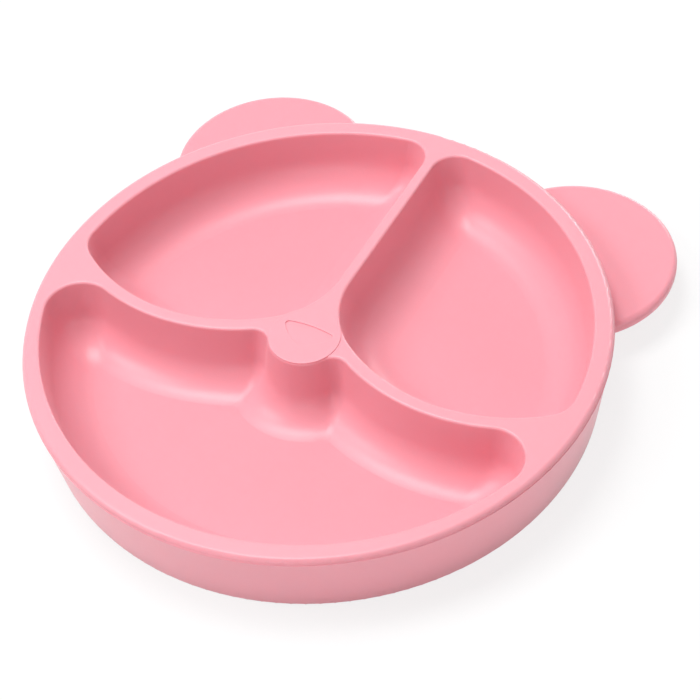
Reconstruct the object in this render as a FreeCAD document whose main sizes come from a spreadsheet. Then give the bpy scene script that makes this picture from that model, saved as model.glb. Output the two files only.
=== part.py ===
# Divided suction plate for a small child: one moulded piece of soft silicone.
#
# The plate is a round tray with a bear's outline. Three deep pockets are the two cheeks and the
# chin, a low round nose stands between them, and two flat ears stick out at the back as tabs for
# lifting. The underside is one shallow suction dish, with a lip that seals on the table.
#
# Frame: millimetres, +Z up, the table at Z = 0, the centre of the round tray at X = Y = 0,
# and the ears towards +Y.

import FreeCAD, Part

import math
import os

import Sketcher
from FreeCAD import Vector

# Driving dimensions, in millimetres and degrees

SIZES = {
    # round tray
    "rim_radius": 92.3,
    "wall_lean": 3.5,
    "plate_height": 26.4,
    "rim_rounding": 1.5,
    "base_rounding": 0.9,
    "parting_drop": 2.0,
    "parting_bead": 0.25,
    # suction dish under the tray
    "lip_width": 3.0,
    "dish_depth": 2.5,
    # ears, centred a little inside the rim's circle
    "ear_angle": 39.0,
    "ear_setback": 2.9,
    "ear_radius": 33.7,
    "ear_top": 13.9,
    "ear_thickness": 4.5,
    "ear_rounding": 1.8,
    # section of a pocket, from its edge to its floor
    "floor_height": 5.5,
    "wall_draft": 10.0,
    "cheek_blend": 14.0,
    "chin_blend": 12.0,
    "floor_corner": 1.5,
    "edge_rounding": 0.8,
    # cheek pockets, on both sides of a straight divider
    "cheek_rim_width": 6.0,
    "divider_width": 3.6,
    "cheek_arc_x": 47.9,
    "cheek_arc_y": 44.1,
    "cheek_arc_radius": 59.3,
    "cheek_nose_corner": 29.0,
    "cheek_side_corner": 10.0,
    "cheek_top_corner": 8.5,
    # chin pocket, with an outer wall that comes nearer to the rim at both ends, and a back wall
    # of two bows with the nose between them
    "chin_rim_width": 6.5,
    "chin_shift": 3.1,
    "chin_arc_x": 47.9,
    "chin_arc_y": 45.3,
    "chin_arc_radius": 64.8,
    "chin_end_corner": 11.0,
    "chin_nose_corner": 5.0,
    # nose, a low disc that tops its column
    "nose_setback": 7.4,
    "nose_radius": 11.5,
    "nose_margin": 0.1,
    "nose_rise": 0.3,
    "nose_root": 0.8,
    "nose_rounding": 0.2,
    # three-sided mark sunk into the nose
    "mark_width": 17.8,
    "mark_length": 7.6,
    "mark_setback": 2.8,
    "mark_bow": 1.1,
    "mark_corner": 1.2,
    "mark_depth": 0.4,
    "mark_rounding": 0.2,
}

# A pocket's outlines are drawn at even steps down its straight wall, and then at even steps
# round the blend, from the wall to the floor
WALL_STEPS = 3
BLEND_STEPS = 8

# Two places nearer than this are the same
NEAR = 0.01

RIGHT_ANGLE = 90
WHOLE_TURN = 360

# Measures that are worked out from the driving dimensions


class Measure:
    """A length or an angle, as its value now and as the expression that keeps it so."""

    def __init__(self, value, text=None):
        self.value = value
        self.text = text or str(value)

    def joined(self, sign, other, value):
        return Measure(value, f"({self.text} {sign} {as_measure(other).text})")

    def __add__(self, other):
        return self.joined("+", other, self.value + as_measure(other).value)

    def __sub__(self, other):
        return self.joined("-", other, self.value - as_measure(other).value)

    def __mul__(self, other):
        return self.joined("*", other, self.value * as_measure(other).value)

    def __truediv__(self, other):
        return self.joined("/", other, self.value / as_measure(other).value)

    def __neg__(self):
        return self * -1


def as_measure(number):
    return number if isinstance(number, Measure) else Measure(number)


def size(name):
    return Measure(SIZES[name], f"Sizes.{name}")


def turned(function, degrees):
    """The sine, cosine or tangent of an angle in degrees."""
    value = getattr(math, function)(math.radians(degrees.value))
    return Measure(value, f"{function}({degrees.text} * 1 deg)")


def root(square):
    return Measure(math.sqrt(square.value), f"sqrt({square.text})")


def radius_through(chord, bow):
    """The radius of an arc that rises by a bow over the middle of its chord."""
    return (chord * chord / 4 + bow * bow) / (bow * 2)


def base_radius():
    return size("rim_radius") - size("wall_lean")


def parting_height():
    return size("plate_height") - size("parting_drop")


# Sketches, drawn on the body's own origin planes


def make_sheet(doc):
    sheet = doc.addObject("Spreadsheet::Sheet", "Sizes")
    for row, (name, value) in enumerate(SIZES.items(), start=1):
        sheet.set(f"A{row}", name)
        sheet.set(f"B{row}", str(value))
        sheet.setAlias(f"B{row}", name)
    doc.recompute()


def origin_plane(body, role):
    return next(item for item in body.Origin.OriginFeatures if item.Role == role)


def new_sketch(body, name, role, height=None):
    """An empty sketch on an origin plane, or at a height over it."""
    sketch = body.newObject("Sketcher::SketchObject", name)
    sketch.AttachmentSupport = (origin_plane(body, role), "")
    sketch.MapMode = "FlatFace"
    if height:
        sketch.setExpression("AttachmentOffset.Base.z", height.text)
    return sketch


def dimension(sketch, kind, *where, length):
    """A dimension of the sketch, bound to its expression."""
    index = sketch.addConstraint(Sketcher.Constraint(kind, *where, length.value))
    sketch.setExpression(f"Constraints[{index}]", length.text)


def place_point(sketch, item, point, x, y):
    """Holds a point of the sketch at x and y from the origin, of whatever sign."""
    for axis, on_axis, length in (("DistanceX", -2, x), ("DistanceY", -1, y)):
        if length.value == 0:
            sketch.addConstraint(Sketcher.Constraint("PointOnObject", item, point, on_axis))
        elif length.value > 0:
            dimension(sketch, axis, -1, 1, item, point, length=length)
        else:
            dimension(sketch, axis, item, point, -1, 1, length=-length)


def draw_circle(sketch, x, y, radius):
    circle = Part.Circle(Vector(x.value, y.value, 0), Vector(0, 0, 1), radius.value)
    item = sketch.addGeometry(circle, False)
    place_point(sketch, item, 3, x, y)
    dimension(sketch, "Radius", item, length=radius)


def arc_between(centre, radius, first, last):
    """The arc from one point to another, counter-clockwise."""
    angles = [math.atan2(point.y - centre.y, point.x - centre.x) for point in (first, last)]
    return Part.ArcOfCircle(Part.Circle(centre, Vector(0, 0, 1), radius), *angles)


# Closed outlines of walls that are joined by round corners


class StraightWall:
    """A wall along Y, with the inside of the outline on its +X side."""

    def __init__(self, x):
        self.x = x

    def inset(self, distance):
        return StraightWall(self.x + distance)

    def touch(self, centre):
        return Vector(self.x.value, centre.y, 0)

    def heading(self, centre):
        return Vector(0, -1, 0)

    def draw(self, sketch, begin, end):
        item = sketch.addGeometry(Part.LineSegment(begin, end), False)
        sketch.addConstraint(Sketcher.Constraint("Vertical", item))
        dimension(sketch, "DistanceX", -1, 1, item, 1, length=self.x)
        return item, 1, 2


class RoundWall:
    """A wall about a centre. It is hollow where the outline's inside is on the centre's side,
    and otherwise it bulges into the outline."""

    def __init__(self, x, y, radius, hollow):
        self.x = x
        self.y = y
        self.radius = radius
        self.hollow = hollow
        self.centre = Vector(x.value, y.value, 0)

    def inset(self, distance):
        radius = self.radius - distance if self.hollow else self.radius + distance
        return RoundWall(self.x, self.y, radius, self.hollow)

    def reach(self, corner):
        """How far from this wall's centre the centre of a round corner lies."""
        return self.radius.value + (-corner if self.hollow else corner)

    def touch(self, centre):
        """Where a round corner with this centre meets the wall."""
        return self.centre + (centre - self.centre).normalize() * self.radius.value

    def heading(self, centre):
        """Which way the outline runs there, with its inside on the left."""
        ahead = Vector(0, 0, 1).cross(centre - self.centre)
        return ahead if self.hollow else -ahead

    def draw(self, sketch, begin, end):
        first, last = (begin, end) if self.hollow else (end, begin)
        item = sketch.addGeometry(arc_between(self.centre, self.radius.value, first, last), False)
        place_point(sketch, item, 3, self.x, self.y)
        dimension(sketch, "Radius", item, length=self.radius)
        return (item, 1, 2) if self.hollow else (item, 2, 1)


def bowed_wall(begin, end, bow):
    """The hollow wall from one place to another, counter-clockwise, bowed outwards."""
    across_x = end[0] - begin[0]
    across_y = end[1] - begin[1]
    chord = root(across_x * across_x + across_y * across_y)
    radius = radius_through(chord, bow)
    share = (radius - bow) / chord
    x = (begin[0] + end[0]) / 2 - across_y * share
    y = (begin[1] + end[1]) / 2 + across_x * share
    return RoundWall(x, y, radius, True)


def between_straight_and_round(straight, curve, corner):
    """The two places for the centre of a corner that touches both walls."""
    x = straight.x.value + corner
    along = math.sqrt(curve.reach(corner) ** 2 - (x - curve.centre.x) ** 2)
    return [Vector(x, curve.centre.y + sign * along, 0) for sign in (1, -1)]


def between_two_round(wall, other, corner):
    """The two places for the centre of a corner that touches both walls."""
    line = other.centre - wall.centre
    gap = line.Length
    line.normalize()
    along = (wall.reach(corner) ** 2 - other.reach(corner) ** 2 + gap**2) / (2 * gap)
    aside = math.sqrt(wall.reach(corner) ** 2 - along**2)
    square = Vector(-line.y, line.x, 0)
    return [wall.centre + line * along + square * aside * sign for sign in (1, -1)]


def corner_centre(wall, other, corner):
    """The centre of the round corner from one wall to the next, where the outline turns left."""
    if isinstance(wall, StraightWall):
        found = between_straight_and_round(wall, other, corner)
    elif isinstance(other, StraightWall):
        found = between_straight_and_round(other, wall, corner)
    else:
        found = between_two_round(wall, other, corner)
    return max(found, key=lambda centre: wall.heading(centre).cross(other.heading(centre)).z)


def draw_outline(sketch, walls, corners):
    """Draws walls and the round corner after each, counter-clockwise, each tangent to the next."""
    following = walls[1:] + walls[:1]
    centres = [
        corner_centre(wall, other, radius.value)
        for wall, other, radius in zip(walls, following, corners)
    ]
    pieces = []
    for index, (wall, other, radius) in enumerate(zip(walls, following, corners)):
        centre = centres[index]
        begin, end = wall.touch(centres[index - 1]), wall.touch(centre)
        pieces.append(wall.draw(sketch, begin, end))
        arc = arc_between(centre, radius.value, end, other.touch(centre))
        item = sketch.addGeometry(arc, False)
        dimension(sketch, "Radius", item, length=radius)
        pieces.append((item, 1, 2))
    for (item, _, end), (other, begin, _) in zip(pieces, pieces[1:] + pieces[:1]):
        sketch.addConstraint(Sketcher.Constraint("Tangent", item, end, other, begin))


# Features


def turn_solid(doc, body, sketch, name):
    solid = body.newObject("PartDesign::Revolution", name)
    solid.Profile = sketch
    solid.ReferenceAxis = (sketch, ["V_Axis"])
    solid.Angle = WHOLE_TURN
    doc.recompute()
    return solid


def raise_solid(doc, body, sketch, name, length):
    solid = body.newObject("PartDesign::Pad", name)
    solid.Profile = sketch
    solid.setExpression("Length", length.text)
    doc.recompute()
    return solid


def mirrored(doc, body, feature, name):
    """The same feature on the other side of the face."""
    mirror = body.newObject("PartDesign::Mirrored", name)
    mirror.Originals = [feature]
    mirror.MirrorPlane = (origin_plane(body, "YZ_Plane"), [""])
    body.Tip = mirror
    doc.recompute()
    return mirror


def edges_where(feature, wanted):
    """The names of a feature's edges whose ends and middle all pass a test."""
    names = []
    for index, edge in enumerate(feature.Shape.Edges, start=1):
        first, last = edge.ParameterRange
        points = [edge.valueAt(first + (last - first) * share) for share in (0, 0.5, 1)]
        if all(wanted(point) for point in points):
            names.append(f"Edge{index}")
    return names


def round_edges(doc, body, base, name, radius, wanted):
    """Rounds the edges of a feature that pass a test."""
    fillet = body.newObject("PartDesign::Fillet", name)
    fillet.Base = (base, edges_where(base, wanted))
    fillet.setExpression("Radius", radius.text)
    doc.recompute()
    return fillet


def at_height(point, height):
    return abs(point.z - height.value) < NEAR


def from_axis(point):
    return math.hypot(point.x, point.y)


# The round tray


def make_tray(doc, body):
    """The tray as one turned shape: drafted wall, flat top, and the suction dish underneath."""
    zero = as_measure(0)
    top = size("plate_height")
    dish_depth = size("dish_depth")
    lip_inner = base_radius() - size("lip_width")
    dish_radius = radius_through(lip_inner * 2, dish_depth)
    section = [
        (lip_inner, zero),
        (base_radius(), zero),
        (size("rim_radius"), parting_height()),
        (size("rim_radius"), top),
        (zero, top),
        (zero, dish_depth),
    ]
    points = [Vector(x.value, y.value, 0) for x, y in section]
    sketch = new_sketch(body, "TraySection", "XZ_Plane")
    items = [
        sketch.addGeometry(Part.LineSegment(begin, end), False)
        for begin, end in zip(points, points[1:])
    ]
    for item, (x, y) in zip(items, section):
        place_point(sketch, item, 1, x, y)
    for item, other in zip(items, items[1:]):
        sketch.addConstraint(Sketcher.Constraint("Coincident", item, 2, other, 1))
    dish_centre = Vector(0, dish_depth.value - dish_radius.value, 0)
    dish = sketch.addGeometry(
        arc_between(dish_centre, dish_radius.value, points[0], points[-1]), False
    )
    place_point(sketch, dish, 3, zero, dish_depth - dish_radius)
    sketch.addConstraint(Sketcher.Constraint("Coincident", dish, 1, items[0], 1))
    sketch.addConstraint(Sketcher.Constraint("Coincident", dish, 2, items[-1], 2))
    sketch.addConstraint(Sketcher.Constraint("Vertical", items[-1]))
    return turn_solid(doc, body, sketch, "Tray")


def round_tray(doc, body, base):
    """The rolled outer edge of the rim and the softened foot, all the way round."""
    rim, top = size("rim_radius").value, size("plate_height")
    foot, table = base_radius().value, as_measure(0)
    base = round_edges(
        doc, body, base, "RimEdge", size("rim_rounding"),
        lambda point: at_height(point, top) and abs(from_axis(point) - rim) < NEAR,
    )
    return round_edges(
        doc, body, base, "FootEdge", size("base_rounding"),
        lambda point: at_height(point, table) and abs(from_axis(point) - foot) < NEAR,
    )


def add_parting_bead(doc, body):
    """The fine bead that the two halves of the mould leave round the wall."""
    sketch = new_sketch(body, "BeadSection", "XZ_Plane")
    draw_circle(sketch, size("rim_radius"), parting_height(), size("parting_bead"))
    return turn_solid(doc, body, sketch, "PartingBead")


# The ears


def make_ears(doc, body):
    """Two flat round tabs on the tray's wall, with rounded edges above and below."""
    distance, angle = size("rim_radius") - size("ear_setback"), size("ear_angle")
    top, bottom = size("ear_top"), size("ear_top") - size("ear_thickness")
    sketch = new_sketch(body, "EarOutline", "XY_Plane", bottom)
    x, y = distance * turned("sin", angle), distance * turned("cos", angle)
    draw_circle(sketch, x, y, size("ear_radius"))
    ear = raise_solid(doc, body, sketch, "Ear", size("ear_thickness"))
    ears = mirrored(doc, body, ear, "OtherEar")
    foot = base_radius().value
    return round_edges(
        doc, body, ears, "EarEdges", size("ear_rounding"),
        lambda point: (at_height(point, top) or at_height(point, bottom))
        and from_axis(point) > foot,
    )


# The pockets


def pocket_reach(blend):
    """How far in from a pocket's edge its flat floor begins."""
    draft = size("wall_draft")
    depth = size("plate_height") - size("floor_height")
    half_turn = (as_measure(RIGHT_ANGLE) - draft) / 2
    return depth * turned("tan", draft) + blend * turned("tan", half_turn)


def pocket_levels(blend):
    """How far in and how high the wall stands at each outline, from the edge to the floor."""
    draft, floor = size("wall_draft"), size("floor_height")
    full_turn = as_measure(RIGHT_ANGLE) - draft

    def on_blend(share):
        turn = full_turn * share
        inset = pocket_reach(blend) - blend * turned("sin", turn)
        return inset, floor + blend - blend * turned("cos", turn)

    top = size("plate_height")
    foot_inset, foot_height = on_blend(1)

    def on_wall(share):
        return foot_inset * share, top - (top - foot_height) * share

    wall = [on_wall(step / WALL_STEPS) for step in range(WALL_STEPS)]
    return wall + [on_blend(1 - step / BLEND_STEPS) for step in range(BLEND_STEPS + 1)]


def corner_below(corner, inset, reach):
    """The radius of a corner further down: it shrinks with the wall, but never to nothing."""
    sharpest = size("floor_corner")
    if corner.value > reach.value + sharpest.value:
        return corner - inset
    return corner - (corner - sharpest) * inset / reach


def cut_pocket(doc, body, name, blend, walls, corners):
    """A pocket cut through its outlines at each level, all drawn from the outline at its edge."""
    reach = pocket_reach(blend)
    sketches = []
    for index, (inset, height) in enumerate(pocket_levels(blend)):
        sketch = new_sketch(body, f"{name}Outline{index}", "XY_Plane", height)
        lower_walls = [wall.inset(inset) for wall in walls]
        lower_corners = [corner_below(corner, inset, reach) for corner in corners]
        draw_outline(sketch, lower_walls, lower_corners)
        sketches.append(sketch)
    doc.recompute()
    pocket = body.newObject("PartDesign::SubtractiveLoft", name)
    pocket.Profile = sketches[0]
    pocket.Sections = sketches[1:]
    doc.recompute()
    return pocket


def cut_cheeks(doc, body):
    """The two upper pockets: the divider, a bowed front wall, and an outer wall along the rim."""
    zero = as_measure(0)
    outer = RoundWall(zero, zero, size("rim_radius") - size("cheek_rim_width"), True)
    divider = StraightWall(size("divider_width") / 2)
    front = RoundWall(
        size("cheek_arc_x"), size("cheek_arc_y"), size("cheek_arc_radius"), True
    )
    corners = [size("cheek_nose_corner"), size("cheek_side_corner"), size("cheek_top_corner")]
    walls = [divider, front, outer]
    cheek = cut_pocket(doc, body, "Cheek", size("cheek_blend"), walls, corners)
    return mirrored(doc, body, cheek, "OtherCheek")


def cut_chin(doc, body):
    """The lower pocket: its back wall is two bows, and the nose's column stands between them."""
    zero = as_measure(0)
    shift = size("chin_shift")
    outer_radius = size("rim_radius") - size("chin_rim_width") + shift
    outer = RoundWall(zero, shift, outer_radius, True)
    x, y, radius = size("chin_arc_x"), size("chin_arc_y"), size("chin_arc_radius")
    right = RoundWall(x, y, radius, False)
    left = RoundWall(-x, y, radius, False)
    nose = RoundWall(zero, -size("nose_setback"), size("nose_radius"), False)
    end, beside_nose = size("chin_end_corner"), size("chin_nose_corner")
    corners = [end, beside_nose, beside_nose, end]
    walls = [outer, right, nose, left]
    return cut_pocket(doc, body, "Chin", size("chin_blend"), walls, corners)


def round_pockets(doc, body, base):
    """The edges of the three pockets, where a spoon and a lip meet them."""
    top, rim_top = size("plate_height"), size("rim_radius") - size("rim_rounding")
    return round_edges(
        doc, body, base, "PocketEdges", size("edge_rounding"),
        lambda point: at_height(point, top) and from_axis(point) < rim_top.value - NEAR,
    )


# The nose


def add_nose(doc, body):
    """A disc on the top of the nose's column, nearly flush with it and a little above the rim."""
    root_depth, rise = size("nose_root"), size("nose_rise")
    rim = size("plate_height")
    sketch = new_sketch(body, "NoseOutline", "XY_Plane", rim - root_depth)
    radius = size("nose_radius") - size("nose_margin")
    draw_circle(sketch, as_measure(0), -size("nose_setback"), radius)
    nose = raise_solid(doc, body, sketch, "Nose", root_depth + rise)
    return round_edges(
        doc, body, nose, "NoseEdge", size("nose_rounding"),
        lambda point: at_height(point, rim + rise),
    )


def cut_mark(doc, body):
    """The three-sided mark in the nose, point down, with bowed sides and softened edges."""
    half_width = size("mark_width") / 2
    top = -(size("mark_setback") + size("mark_bow"))
    left, right = (-half_width, top), (half_width, top)
    tip = (as_measure(0), top - size("mark_length"))
    bow = size("mark_bow")
    walls = [bowed_wall(*ends, bow) for ends in ((right, left), (left, tip), (tip, right))]
    nose_top = size("plate_height") + size("nose_rise")
    sketch = new_sketch(body, "MarkOutline", "XY_Plane", nose_top)
    draw_outline(sketch, walls, [size("mark_corner")] * len(walls))
    mark = body.newObject("PartDesign::Pocket", "Mark")
    mark.Profile = sketch
    mark.setExpression("Length", size("mark_depth").text)
    doc.recompute()
    setback, reach = size("nose_setback").value, half_width.value
    return round_edges(
        doc, body, mark, "MarkEdges", size("mark_rounding"),
        lambda point: at_height(point, nose_top)
        and math.hypot(point.x, point.y + setback) < reach,
    )


# The whole plate


def make_plate(doc):
    make_sheet(doc)
    body = doc.addObject("PartDesign::Body", "Plate")
    body.Label = "plate"
    make_tray(doc, body)
    ears = make_ears(doc, body)
    round_tray(doc, body, ears)
    cut_cheeks(doc, body)
    chin = cut_chin(doc, body)
    round_pockets(doc, body, chin)
    add_parting_bead(doc, body)
    nose = add_nose(doc, body)
    mark = cut_mark(doc, body)
    if mark.Shape.Volume >= nose.Shape.Volume:
        raise RuntimeError("the mark cuts nothing from the nose")
    return body


def check(doc, body):
    for item in doc.Objects:
        if {"Invalid", "Error"} & set(item.State):
            raise RuntimeError(f"{item.Name} has failed: {item.State}")
    if body.Shape.isNull() or not body.Shape.isValid():
        raise RuntimeError(f"{body.Label} has no valid shape")
    if len(body.Shape.Solids) != 1:
        raise RuntimeError(f"{body.Label} is not one solid")


document = FreeCAD.newDocument("SuctionPlate")
plate = make_plate(document)
check(document, plate)
os.makedirs("parts", exist_ok=True)
plate.Shape.exportStep(f"parts/{plate.Label}.step")
box = plate.Shape.optimalBoundingBox()
print(f"{plate.Label}: {box.XLength:.1f} x {box.YLength:.1f} x {box.ZLength:.1f} mm")
print(f"volume {plate.Shape.Volume / 1000:.1f} cm3, {len(plate.Shape.Faces)} faces")
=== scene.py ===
# %% [markdown]
# # A divided suction plate in soft silicone
#
# The plate is one moulded piece of pink silicone: a round tray with three deep pockets, a low nose
# between them, two flat ears, and a suction dish underneath. Its solid comes ready made as the
# frame, in metres, with the table at Z = 0 and the ears towards +Y. Its shape is right as it is, so
# this notebook leaves the mesh alone and gives it its finish, its light and its camera.

import math

import bpy
from mathutils import Matrix, Vector


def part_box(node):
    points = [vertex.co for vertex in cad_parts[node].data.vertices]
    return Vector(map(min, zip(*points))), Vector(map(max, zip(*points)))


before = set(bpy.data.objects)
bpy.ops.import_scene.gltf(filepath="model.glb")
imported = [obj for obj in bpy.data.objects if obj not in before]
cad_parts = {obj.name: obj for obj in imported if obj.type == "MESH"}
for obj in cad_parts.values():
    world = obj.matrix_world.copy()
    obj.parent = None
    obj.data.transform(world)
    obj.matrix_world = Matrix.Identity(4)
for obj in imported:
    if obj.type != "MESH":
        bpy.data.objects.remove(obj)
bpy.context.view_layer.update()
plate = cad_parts["plate"]
low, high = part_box("plate")
print("plate from", [round(value, 4) for value in low], "to", [round(value, 4) for value in high])

# %% [markdown]
# ## Reckoning with shader values
#
# A finish is made of many small sums, such as a base roughness plus a little noise. They could be
# wired by hand, with a Math node and two cables for each. This class wraps one output of a node
# instead, so that ordinary Python arithmetic adds those nodes and cables, and a finish reads as a
# formula.

# %% Shader values


class Value:
    """One output in a node tree. Arithmetic and comparison with it add Math nodes."""

    def __init__(self, nodes, socket):
        self.nodes = nodes
        self.socket = socket

    def math(self, operation, first, second):
        return self.nodes.value("ShaderNodeMath", {"operation": operation}, {0: first, 1: second})

    def __add__(self, other):
        return self.math("ADD", self, other)

    def __sub__(self, other):
        return self.math("SUBTRACT", self, other)

    def __rsub__(self, other):
        return self.math("SUBTRACT", other, self)

    def __mul__(self, other):
        return self.math("MULTIPLY", self, other)

    def __lt__(self, other):
        return self.math("LESS_THAN", self, other)

    __radd__ = __add__
    __rmul__ = __mul__


print("shader values take +, -, * and <")

# %% [markdown]
# ## Building a node tree
#
# A material and the sky both keep their shader as a tree of nodes. One small class empties such a
# tree and fills it, so every node in this notebook is added in the same way: its kind, its
# settings, and then a number or a link for each input.

# %% Node trees


class Nodes:
    """The node tree of a material or of the sky."""

    def __init__(self, owner):
        owner.use_nodes = True
        self.tree = owner.node_tree
        self.tree.nodes.clear()

    def add(self, kind, settings, inputs):
        node = self.tree.nodes.new(kind)
        for name, setting in settings.items():
            setattr(node, name, setting)
        for name, given in inputs.items():
            if isinstance(given, Value):
                self.tree.links.new(given.socket, node.inputs[name])
            else:
                node.inputs[name].default_value = given
        return node

    def value(self, kind, settings, inputs, output=0):
        return Value(self, self.add(kind, settings, inputs).outputs[output])

    def place(self):
        """Where a point lies on the piece, in metres."""
        return self.value("ShaderNodeTexCoord", {}, {}, "Object")

    def noise(self, grain, detail):
        """Noise with a grain of so many metres, between about -1 and 1. Each step of detail adds
        another noise of half the grain."""
        inputs = {"Vector": self.place(), "Scale": 1 / grain, "Detail": detail}
        return self.value("ShaderNodeTexNoise", {}, inputs) * 2 - 1

    def tint(self, share, base, other):
        """A colour between two others. A Mix node's colours are its inputs 6 and 7, output 2."""
        inputs = {0: share, 6: base, 7: other}
        return self.value("ShaderNodeMix", {"data_type": "RGBA"}, inputs, output=2)

    def seen(self):
        """1 where the camera, a reflection or a clear material looks, and 0 for the light cast."""
        kinds = ("Is Camera Ray", "Is Glossy Ray", "Is Transmission Ray")
        camera, glossy, clear = [self.value("ShaderNodeLightPath", {}, {}, kind) for kind in kinds]
        return camera + glossy + clear


def new_material(name):
    material = bpy.data.materials.new(name)
    return material, Nodes(material)


print("node trees ready")

# %% [markdown]
# ## The colour of the silicone
#
# Food-grade silicone is coloured right through, so there is no paint to wear off at the edges. Its
# pigment is stirred in by hand, and leaves a drift of colour over a few centimetres that the eye
# hardly sees, with a finer mottle on top. Two noises of those grains mix two close pinks.

# %% Pink
PINK = (0.865, 0.345, 0.405, 1)
DEEP_PINK = (0.845, 0.325, 0.385, 1)
DRIFT_GRAIN = 0.045
MOTTLE_GRAIN = 0.0016
EVEN_MIX = 0.5
DRIFT_TINT = 0.3
MOTTLE_TINT = 0.15

pink_silicone, skin = new_material("pink_silicone")
drift = skin.noise(DRIFT_GRAIN, detail=2)
mottle = skin.noise(MOTTLE_GRAIN, detail=3)
deep_share = EVEN_MIX + DRIFT_TINT * drift + MOTTLE_TINT * mottle
pigment = skin.tint(deep_share, PINK, DEEP_PINK)
print("two pinks mixed over", DRIFT_GRAIN * 1000, "mm and", MOTTLE_GRAIN * 1000, "mm")

# %% [markdown]
# ## The paler rim, painted light
#
# The rim and the dividers are only a few millimetres thick, and their tops are meant to look a
# shade paler than the floors, as if more light reached them from both sides and passed through. The
# scattering further down can't do that, because it keeps to a few millimetres. So the pink itself
# is painted paler over the last millimetre and a half to the top: painted light. A smooth step does
# it, which leaves no line.

# %% Painted light on the top
# Painted light: the top of the plate is painted a paler pink, so that it looks more brightly lit.
PAINTED_LIGHT_PINK = (0.872, 0.362, 0.422, 1)
PAINTED_LIGHT_FROM = 0.0248
PAINTED_LIGHT_TO = 0.0263

height = skin.value("ShaderNodeSeparateXYZ", {}, {"Vector": skin.place()}, "Z")
painted_light_top = skin.value(
    "ShaderNodeMapRange",
    {"interpolation_type": "SMOOTHSTEP"},
    {"Value": height, "From Min": PAINTED_LIGHT_FROM, "From Max": PAINTED_LIGHT_TO},
)
pigment_with_painted_light = skin.tint(painted_light_top, pigment, PAINTED_LIGHT_PINK)
print("paler from", PAINTED_LIGHT_FROM * 1000, "to", PAINTED_LIGHT_TO * 1000, "mm")

# %% [markdown]
# ## The polished dish
#
# The mould is blasted to a fine matt where hands and food touch, but the dish underneath is
# polished, because a smooth face seals better. The two finishes meet at the inner edge of the lip.
# They could be two materials on two sets of faces. The place on the piece tells them apart just
# as well, and leaves the mesh as it is: the dish is what lies inside the lip and under the floor.

# %% Matt and polished faces
LIP_INNER_RADIUS = 0.0858
UNDER_FLOOR = 0.004
MATT = 0.33
POLISHED = 0.2
DRIFT_ROUGHNESS = 0.02
MOTTLE_ROUGHNESS = 0.03

level_place = skin.value(
    "ShaderNodeVectorMath", {"operation": "MULTIPLY"}, {0: skin.place(), 1: (1, 1, 0)}
)
from_axis = skin.value(
    "ShaderNodeVectorMath", {"operation": "LENGTH"}, {0: level_place}, output="Value"
)
dish = (from_axis < LIP_INNER_RADIUS) * (height < UNDER_FLOOR)
matt = 1 - dish
uneven = DRIFT_ROUGHNESS * drift + MOTTLE_ROUGHNESS * mottle
roughness = POLISHED + matt * (MATT - POLISHED + uneven)
print("polished inside a radius of", LIP_INNER_RADIUS * 1000, "mm")

# %% [markdown]
# ## The touch of the mould
#
# The blasted mould leaves a texture a few tenths of a millimetre wide and a few thousandths deep.
# It is far too fine for geometry, so a bump carries it. It breaks up the edge of every highlight,
# which is what tells soft silicone from glazed china.

# %% Fine texture
GRAIN = 0.0004
TEXTURE_DEPTH = 0.000008
MOTTLE_DEPTH = 0.5

relief = matt * (skin.noise(GRAIN, detail=3) + MOTTLE_DEPTH * mottle)
texture = skin.value(
    "ShaderNodeBump", {}, {"Strength": 1.0, "Distance": TEXTURE_DEPTH, "Height": relief}
)
print("texture", TEXTURE_DEPTH * 1e6, "micrometres deep")

# %% [markdown]
# ## Light inside the silicone
#
# Silicone is a little translucent. Light enters it, scatters, and comes out a few millimetres
# away, redder than it went in. That softens the shadows in the pockets and makes thin edges glow.
# Subsurface scattering does this, with red reaching furthest. A trace of sheen stands for the fine
# dust that silicone always holds.

# %% Silicone on the plate
REFRACTION = 1.41
SCATTER_SHARE = 0.25
SCATTER_REACH = (1.0, 0.35, 0.3)
SCATTER_DEPTH = 0.004
DUST = 0.08
DUST_ROUGHNESS = 0.5

# The base colour carries the pigment and the painted light on the top.
body = skin.value(
    "ShaderNodeBsdfPrincipled",
    {"subsurface_method": "RANDOM_WALK"},
    {
        "Base Color": pigment_with_painted_light,
        "Roughness": roughness,
        "Normal": texture,
        "IOR": REFRACTION,
        "Subsurface Weight": SCATTER_SHARE,
        "Subsurface Radius": SCATTER_REACH,
        "Subsurface Scale": SCATTER_DEPTH,
        "Sheen Weight": DUST,
        "Sheen Roughness": DUST_ROUGHNESS,
    },
)
skin.add("ShaderNodeOutputMaterial", {}, {"Surface": body})
for slot in plate.material_slots:
    slot.material = pink_silicone
print(len(plate.material_slots), "slot of", plate.name, "takes", pink_silicone.name)

# %% [markdown]
# ## The table
#
# The plate is shown on plain white, like an item in a catalogue. A white table alone renders as
# light grey, and more lamps would bleach the plate with it. So the table mixes a white glow into
# its paint, which only the camera and reflections see and which lights nothing. The painted share
# still takes the plate's soft shadow.

# %% White table
TABLE_WIDTH = 20.0
TABLE_PAINT = (0.92, 0.92, 0.92, 1)
TABLE_GLOW = 0.8
WHITE = (1, 1, 1, 1)

bpy.ops.object.select_all(action="DESELECT")
bpy.ops.mesh.primitive_plane_add(size=TABLE_WIDTH)
table = bpy.context.object
table.name = "table"
white_table, paint = new_material("white_table")
painted = paint.value("ShaderNodeBsdfDiffuse", {}, {"Color": TABLE_PAINT})
glow = paint.value("ShaderNodeEmission", {}, {"Color": WHITE, "Strength": 1.0})
surface = paint.value(
    "ShaderNodeMixShader", {}, {0: paint.seen() * TABLE_GLOW, 1: painted, 2: glow}
)
paint.add("ShaderNodeOutputMaterial", {}, {"Surface": surface})
table.data.materials.append(white_table)
print("table", TABLE_WIDTH, "m wide")

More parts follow.
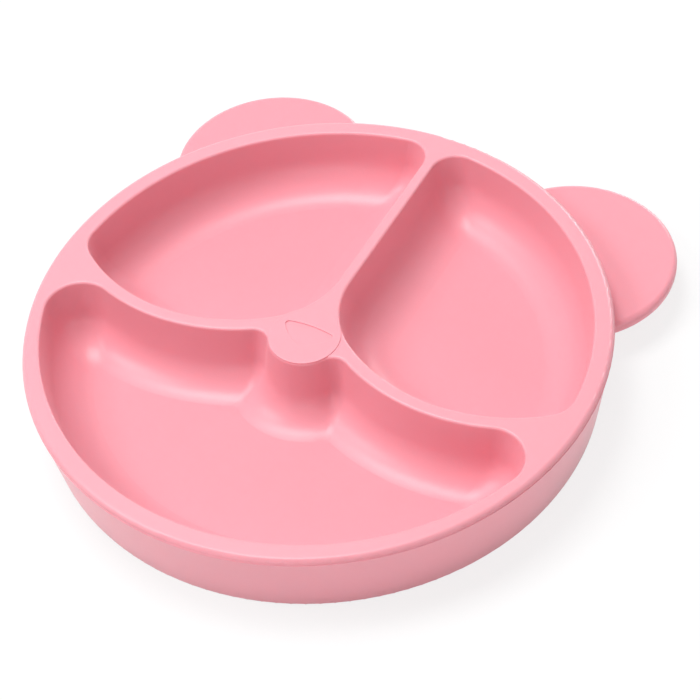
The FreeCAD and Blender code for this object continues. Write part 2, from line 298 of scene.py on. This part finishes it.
# %% [markdown]
# ## The camera
#
# The camera looks down at the plate from its right front side, at about 48 degrees, and leans a
# little to the side. A long lens from two thirds of a metre keeps the rim's curve calm. The place
# is worked out from two angles and a distance, which are easier to judge than three coordinates.

# %% Camera
CAMERA_AROUND = math.radians(32.90)
CAMERA_UP = math.radians(48.09)
CAMERA_ROLL = math.radians(-6.285)
CAMERA_DISTANCE = 0.6578
CAMERA_TARGET = Vector((0.00267, 0.01335, 0))
SENSOR_WIDTH = 36
FOCAL_LENGTH = 104.13
UP = Vector((0, 0, 1))

rightwards = Vector((math.cos(CAMERA_AROUND), math.sin(CAMERA_AROUND), 0))
away = UP.cross(rightwards)
back = UP * math.sin(CAMERA_UP) - away * math.cos(CAMERA_UP)
bpy.ops.object.camera_add(location=CAMERA_TARGET + back * CAMERA_DISTANCE)
camera = bpy.context.object
upright = Matrix((rightwards, back.cross(rightwards), back)).transposed()
camera.rotation_euler = (upright @ Matrix.Rotation(CAMERA_ROLL, 3, "Z")).to_euler()
camera.data.lens = FOCAL_LENGTH
camera.data.sensor_width = SENSOR_WIDTH
bpy.context.scene.camera = camera
print("camera at", [round(value, 3) for value in camera.location])

# %% [markdown]
# ## The sky
#
# A studio's white walls light the plate evenly from all sides. The sky stands for them. As with the
# table, what is seen of it is plain white, and what it casts is weaker, at a level that renders
# colours about as they are written.

# %% Sky
SKY_LIGHT = 0.27

sky_world = bpy.data.worlds.new("sky")
sky = Nodes(sky_world)
cast = sky.value("ShaderNodeBackground", {}, {"Color": WHITE, "Strength": SKY_LIGHT})
shown = sky.value("ShaderNodeBackground", {}, {"Color": WHITE, "Strength": 1.0})
both = sky.value("ShaderNodeMixShader", {}, {0: sky.seen(), 1: cast, 2: shown})
sky.add("ShaderNodeOutputWorld", {}, {"Surface": both})
bpy.context.scene.world = sky_world
print("sky casts", SKY_LIGHT)

# %% [markdown]
# ## The lamps
#
# A photographer lights a soft, pale thing with a large lamp from above and several weak ones low
# down. The key lamp hangs high up beyond the plate and a little to the left, and the second lamp
# lower at the left. Their mirror images lie as soft gleams in the pockets' round feet, and a lamp
# half a metre wide leaves them with soft edges. The last three stand low, just clear of the table,
# at the front, the right and the rear. They barely touch the floors of the pockets, and lift the
# steep walls, which would look dull under the sky alone.

# %% Lamps
LAMP_DISTANCE = 1.3


def soft_box(name, around, up, width, power):
    """A square lamp turned to the plate, with its width in metres and its power in watts. Around
    is the angle from the camera's right-hand side, counter-clockwise from above, and up is the
    angle over the table, both in degrees."""
    around, up = math.radians(around), math.radians(up)
    aside = rightwards * math.cos(around) + away * math.sin(around)
    place = (aside * math.cos(up) + UP * math.sin(up)) * LAMP_DISTANCE
    bpy.ops.object.light_add(type="AREA", location=place)
    lamp = bpy.context.object
    lamp.name = name
    lamp.data.size = width
    lamp.data.energy = power
    lamp.rotation_euler = (-place).to_track_quat("-Z", "Y").to_euler()
    print(name, "at", [round(value, 2) for value in place])


soft_box("key", around=128, up=74, width=0.55, power=11.9)
soft_box("left", around=178, up=50, width=0.45, power=5.4)
soft_box("front", around=258, up=14, width=0.6, power=1.9)
soft_box("right", around=312, up=8, width=0.3, power=1.3)
soft_box("rear", around=60, up=12, width=0.5, power=4.8)

# %% [markdown]
# ## The view transform
#
# The finish adds no shape, so the box round everything that shows should be the box of the solid
# that was loaded, which is printed near the top. The render uses the Standard view transform.

# %% The end
bpy.context.scene.view_settings.view_transform = "Standard"
